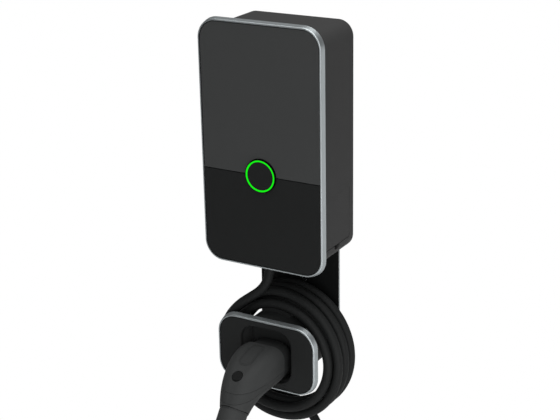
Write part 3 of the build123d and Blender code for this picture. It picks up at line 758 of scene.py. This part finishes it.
@dataclass(frozen=True)
class SleeveSeal:
    """Rubber ring in the joint between the plug's handle and its sleeve.

    Attributes:
        middle: centre of the joint, across, depth and height in millimetres.
        slope: degrees that the sleeve's axis dips below straight ahead.
        inner: inner radius in millimetres.
        outer: outer radius in millimetres.
        width: width along the axis in millimetres.
        segments: steps round the ring.
    """

    middle: Place = (0.0, 183.8, -336.65)
    slope: float = 50.0
    inner: float = 19.2
    outer: float = 20.15
    width: float = 1.3
    segments: int = 96

    def build(self, wardrobe: Wardrobe) -> bpy.types.Object:
        """Make the ring as one closed band.

        Args:
            wardrobe: the finishes.

        Returns:
            The finished piece.
        """
        dip = math.radians(self.slope)
        axis = at(0.0, math.cos(dip), -math.sin(dip))
        across, rise = at(1.0, 0.0, 0.0), at(0.0, math.sin(dip), math.cos(dip))
        half = self.width / 2
        section = ((self.inner, -half), (self.outer, -half), (self.outer, half), (self.inner, half))
        corners = []
        for step in range(self.segments):
            turn = math.tau * step / self.segments
            spoke = math.cos(turn) * across + math.sin(turn) * rise
            corners += [at(*self.middle) + radius * spoke + along * axis for radius, along in section]
        mesh = bpy.data.meshes.new("sleeve_seal")
        mesh.from_pydata(corners, [], self._faces(len(section)))
        mesh.validate()
        ring = add_object("sleeve_seal", mesh)
        wardrobe.wear(ring, "rubber_black")
        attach(ring, MAIN_BODY)
        LOG.info("sleeve_seal has %d faces", len(mesh.polygons))
        return ring

    def _faces(self, sides: int) -> list[list[int]]:
        """Four-cornered faces round the ring.

        Args:
            sides: corners of the section.

        Returns:
            Corner numbers of each face.
        """
        faces = []
        for step in range(self.segments):
            here, there = step * sides, (step + 1) % self.segments * sides
            for side in range(sides):
                after = (side + 1) % sides
                faces.append([here + side, here + after, there + after, there + side])
        return faces


@dataclass(frozen=True)
class WindingKey:
    """Place of the cable at one angle of its winding round the dock.

    Attributes:
        angle: degrees from the right, counter-clockwise seen from the front.
        radius: millimetres from the coil's axis.
        depth: millimetres from the wall.
    """

    angle: float
    radius: float
    depth: float


@dataclass(frozen=True)
class ChargingCable:
    """Free charging cable: lead from the gland, coil on the dock and hanging tail to the plug.

    Attributes:
        diameter: thickness in millimetres.
        length: length in metres; not used.
        dock_height: height of the dock's middle, from which lead and tail count.
        coil_height: height of the coil's axis.
        steps_per_turn: points on one turn.
        inner_tuck: millimetres that the inner turns are drawn in under the lead.
        outer_tuck: the same for the outer turns.
        outer_start: angle at which the outer turns begin.
        tuck_angle: angle at which the lead comes down over the turns.
        tuck_spread: degrees either way over which the turns are drawn in.
        round_steps: steps round a quarter of the sheath.
        point_steps: steps between two points of the line.
        smoothness: order of the spline.
        exit: where the cable leaves the box; not used.
        gland_mouth: start of the line, inside the gland.
        lead: points from the gland to the coil.
        winding: keys of the turns.
        tail: points from the coil to the plug.
        plug_nodes: CAD nodes at the cable's far end; not used.
    """

    diameter: float = 13.0
    length: float = 3.5
    dock_height: float = -292.8
    coil_height: float = -306.8
    steps_per_turn: int = 24
    inner_tuck: float = 4.5
    outer_tuck: float = 7.6
    outer_start: float = 945.0
    tuck_angle: float = 132.0
    tuck_spread: float = 26.0
    round_steps: int = 6
    point_steps: int = 4
    smoothness: int = 3
    exit: Place = (-13.0, 60.5, -181.2)
    gland_mouth: Place = (-13.0, 60.5, 130.6)
    lead: tuple[Place, ...] = (
        (-13.0, 61.3, 112.5),
        (-14.5, 64.8, 94.5),
        (-22.0, 70.5, 80.5),
        (-35.5, 75.0, 70.0),
        (-49.5, 78.0, 59.5),
        (-62.0, 79.5, 46.5),
        (-71.5, 80.5, 31.5),
        (-78.0, 80.5, 15.0),
        (-80.5, 79.0, -3.0),
    )
    winding: tuple[WindingKey, ...] = (
        WindingKey(172.0, 81.6, 79.0),
        WindingKey(205.0, 79.5, 77.0),
        WindingKey(235.0, 78.2, 73.5),
        WindingKey(270.0, 78.0, 71.0),
        WindingKey(360.0, 79.6, 69.5),
        WindingKey(450.0, 78.3, 68.5),
        WindingKey(540.0, 78.0, 65.5),
        WindingKey(570.0, 78.0, 63.2),
        WindingKey(600.0, 74.5, 59.9),
        WindingKey(630.0, 73.5, 57.3),
        WindingKey(660.0, 75.5, 56.6),
        WindingKey(680.0, 79.4, 56.2),
        WindingKey(720.0, 79.6, 55.5),
        WindingKey(810.0, 78.3, 54.5),
        WindingKey(840.0, 78.5, 53.6),
        WindingKey(857.0, 73.6, 53.2),
        WindingKey(870.0, 73.0, 52.9),
        WindingKey(900.0, 80.5, 53.0),
        WindingKey(930.0, 87.0, 55.0),
        WindingKey(945.0, 91.0, 59.5),
        WindingKey(960.0, 93.0, 64.0),
        WindingKey(990.0, 93.0, 65.5),
        WindingKey(1080.0, 92.2, 63.5),
        WindingKey(1170.0, 93.0, 59.5),
        WindingKey(1230.0, 93.0, 53.0),
        WindingKey(1260.0, 94.0, 50.0),
        WindingKey(1290.0, 93.5, 47.5),
        WindingKey(1350.0, 93.0, 46.8),
        WindingKey(1440.0, 92.4, 45.5),
        WindingKey(1530.0, 93.0, 41.5),
        WindingKey(1620.0, 93.0, 35.7),
        WindingKey(1710.0, 93.0, 31.5),
        WindingKey(1800.0, 92.4, 27.5),
        WindingKey(1890.0, 93.0, 24.5),
        WindingKey(1980.0, 92.0, 21.0),
        WindingKey(2050.0, 91.7, 18.5),
    )
    tail: tuple[Place, ...] = (
        (-31.0, 18.5, -100.5),
        (-1.0, 17.5, -104.5),
        (23.5, 20.0, -117.0),
        (44.0, 27.5, -138.0),
        (59.5, 38.5, -167.0),
        (65.0, 58.0, -200.0),
        (60.0, 85.5, -231.0),
        (53.0, 121.5, -251.0),
        (43.0, 161.5, -257.0),
        (33.0, 199.5, -247.0),
        (23.0, 230.5, -224.0),
        (13.0, 254.5, -195.0),
        (4.0, 261.0, -158.0),
        (0.0, 251.3, -124.3),
        (0.0, 230.1, -99.0),
    )
    plug_nodes: tuple[str, ...] = (
        "plug_nose", "plug_contacts", "handle_top_shell", "handle_seam_band", "handle_bottom_shell",
        "handle_inlay", "release_button", "cable_sleeve", "strain_relief",
    )

    def build(self, wardrobe: Wardrobe, seal: bpy.types.Object) -> bpy.types.Object:
        """Args:
            wardrobe: gives the sheath's material.
            seal: the ring on the plug; not used.

        Returns:
            The cable's curve object.
        """
        curve = bpy.data.curves.new("charging_cable", "CURVE")
        curve.dimensions = "3D"
        curve.bevel_depth = self.diameter / 2 * MILLIMETRE
        curve.bevel_resolution = self.round_steps
        curve.resolution_u = self.point_steps
        curve.use_fill_caps = True
        places = self._route()
        spline = curve.splines.new("NURBS")
        spline.points.add(len(places) - 1)
        for point, place in zip(spline.points, places):
            point.co = (*place, 1.0)
        spline.order_u = self.smoothness
        spline.use_endpoint_u = True
        cable = add_object("charging_cable", curve)
        wardrobe.wear(cable, "cable_sheath")
        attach(cable, MAIN_BODY)
        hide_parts("cable_lead", "cable_coil", "cable_tail")
        LOG.info("charging_cable has %d points", len(places))
        return cable

    def _route(self) -> list[Vector]:
        """All points of the cable's line, from the gland to the plug."""
        ends = [self._from_dock(point) for point in (self.gland_mouth, *self.lead)]
        return ends + self._coil() + [self._from_dock(point) for point in self.tail]

    def _from_dock(self, point: Place) -> Vector:
        """Place of a route point, whose height counts from the dock's middle."""
        across, depth, height = point
        return at(across, depth, self.dock_height + height)

    def _coil(self) -> list[Vector]:
        """Points of the turns, a little outside their line because the spline runs inside its points.

        Returns:
            The points in order.
        """
        step = 360.0 / self.steps_per_turn
        outside = 1.0 / math.cos(math.pi / self.steps_per_turn)
        first, last = self.winding[0].angle, self.winding[-1].angle
        count = int((last - first) / step)
        places = []
        for number in range(1, count):
            key = self._key_at(first + number * step)
            turn = math.radians(key.angle)
            radius = key.radius * outside
            places.append(at(radius * math.cos(turn), key.depth, self.coil_height + radius * math.sin(turn)))
        return places

    def _key_at(self, angle: float) -> WindingKey:
        """Winding at an angle, on a straight run from one key to the next.

        Args:
            angle: degrees along the winding.

        Returns:
            The place there, drawn in under the lead.
        """
        for before, after in zip(self.winding, self.winding[1:]):
            if angle <= after.angle:
                share = (angle - before.angle) / (after.angle - before.angle)
                radius = before.radius + share * (after.radius - before.radius)
                depth = before.depth + share * (after.depth - before.depth)
                return WindingKey(angle, radius - self._tuck(angle), depth)
        return self.winding[-1]

    def _tuck(self, angle: float) -> float:
        """How far the turns are drawn in where the lead comes down over them.

        Args:
            angle: degrees along the winding.

        Returns:
            Millimetres towards the coil's axis.
        """
        away = ((angle - self.tuck_angle + 180.0) % 360.0 - 180.0) / self.tuck_spread
        tuck = self.inner_tuck if angle < self.outer_start else self.outer_tuck
        return tuck * math.exp(-away * away)


@dataclass(frozen=True)
class Softbox:
    """One area light of the studio.

    Attributes:
        name: light name.
        place: where it hangs, in metres.
        target: what it points at.
        size: width and height in metres.
        power: watts.
    """

    name: str
    place: Place
    target: Place
    size: tuple[float, float]
    power: float

    def build(self) -> None:
        """Hang the light."""
        data = bpy.data.lights.new(self.name, "AREA")
        data.shape = "RECTANGLE"
        data.size, data.size_y = self.size
        data.energy = self.power
        lamp = add_object(self.name, data)
        lamp.location = self.place
        lamp.rotation_euler = (Vector(self.target) - Vector(self.place)).to_track_quat("-Z", "Y").to_euler()


@dataclass(frozen=True)
class Studio:
    """Pale floor, soft lights, white surroundings and the photo's camera.

    Attributes:
        floor_height: height of the floor in metres.
        floor_size: length of its sides in metres.
        floor_tone: grey of the floor in linear light.
        ambient: strength of the surroundings on the surfaces.
        lights: the area lights.
        eye: place of the camera in metres.
        forward: direction that it looks in.
        roll: its turn about that direction, in degrees.
        lens: focal length in millimetres.
        sensor: sensor width in millimetres.
        near: nearest distance that it sees, in metres.
    """

    floor_height: float = -0.72
    floor_size: float = 12.0
    floor_tone: float = 0.8
    ambient: float = 0.16
    lights: tuple[Softbox, ...] = (
        Softbox("key_light", (1.6, -2.5, 0.7), (0.0, 0.0, -0.1), (3.0, 2.4), 45.5),
        Softbox("plug_card", (0.5, -0.42, -0.42), (0.0, -0.15, -0.31), (0.3, 0.3), 0.75),
        Softbox("top_light", (0.25, -0.3, 2.2), (0.0, 0.0, 0.0), (2.4, 2.4), 64.0),
        Softbox("trim_card", (1.5, 0.8, -0.55), (0.0, 0.0, -0.1), (1.6, 1.6), 5.0),
    )
    eye: Place = (0.82797, -1.47269, 0.50692)
    forward: Place = (-0.47300, 0.81052, -0.34544)
    roll: float = -1.09
    lens: float = 84.08
    sensor: float = 36.0
    near: float = 0.05

    def build(self) -> None:
        """Set up floor, lights, world and camera."""
        self._floor()
        for light in self.lights:
            light.build()
        self._world()
        self._camera()

    def _floor(self) -> None:
        """Floor under the hanging loop of the cable."""
        half = self.floor_size / 2
        corners = [(-half, -half), (half, -half), (half, half), (-half, half)]
        mesh = bpy.data.meshes.new("floor")
        mesh.from_pydata([(x, y, self.floor_height) for x, y in corners], [], [(0, 1, 2, 3)])
        mesh.materials.append(self._floor_material())
        floor = add_object("floor", mesh)

    def _floor_material(self) -> bpy.types.Material:
        """Pale grey to the surfaces, white to the camera.

        Returns:
            The floor's material.
        """
        material = bpy.data.materials.new("floor_pale")
        material.use_nodes = True
        graph = NodeGraph(material.node_tree)
        grey = material.node_tree.nodes["Principled BSDF"]
        grey.inputs["Base Color"].default_value = (self.floor_tone, self.floor_tone, self.floor_tone, 1.0)
        white = graph.add("ShaderNodeEmission")
        mix = graph.add("ShaderNodeMixShader")
        rays = graph.add("ShaderNodeLightPath")
        graph.join(rays.outputs["Is Camera Ray"], mix.inputs[0])
        graph.join(grey.outputs["BSDF"], mix.inputs[1])
        graph.join(white.outputs["Emission"], mix.inputs[2])
        graph.join(mix.outputs["Shader"], material.node_tree.nodes["Material Output"].inputs["Surface"])
        return material

    def _world(self) -> None:
        """White to the camera, soft grey to the surfaces."""
        world = bpy.data.worlds.new("studio")
        world.use_nodes = True
        bpy.context.scene.world = world
        graph = NodeGraph(world.node_tree)
        background = world.node_tree.nodes["Background"]
        background.inputs["Color"].default_value = (1.0, 1.0, 1.0, 1.0)
        rays = graph.add("ShaderNodeLightPath")
        level = graph.add("ShaderNodeMapRange", To_Min=self.ambient, To_Max=1.0)
        graph.join(rays.outputs["Is Camera Ray"], level.inputs["Value"])
        graph.join(level.outputs["Result"], background.inputs["Strength"])

    def _camera(self) -> None:
        """Camera at the photo's place, angle and focal length."""
        data = bpy.data.cameras.new("photo_camera")
        data.sensor_width = self.sensor
        data.lens = self.lens
        data.clip_start = self.near
        camera = add_object("photo_camera", data)
        forward = Vector(self.forward).normalized()
        level_right = forward.cross(Vector((0.0, 0.0, 1.0))).normalized()
        level_up = level_right.cross(forward)
        roll = math.radians(self.roll)
        right = level_right * math.cos(roll) + level_up * math.sin(roll)
        up = level_up * math.cos(roll) - level_right * math.sin(roll)
        turn = Matrix((right, up, -forward)).transposed().to_4x4()
        camera.matrix_world = Matrix.Translation(self.eye) @ turn
        bpy.context.scene.camera = camera


def main() -> None:
    """Dress the charger and set up the studio."""
    logging.basicConfig(level=logging.INFO)
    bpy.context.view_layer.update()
    bpy.context.scene.view_settings.view_transform = "Standard"
    wardrobe = Wardrobe(EffectLibrary())
    wardrobe.dress()
    BoardParts(wardrobe).build()
    seal = SleeveSeal().build(wardrobe)
    ChargingCable().build(wardrobe, seal)
    Studio().build()


if __name__ == "__main__":
    main()
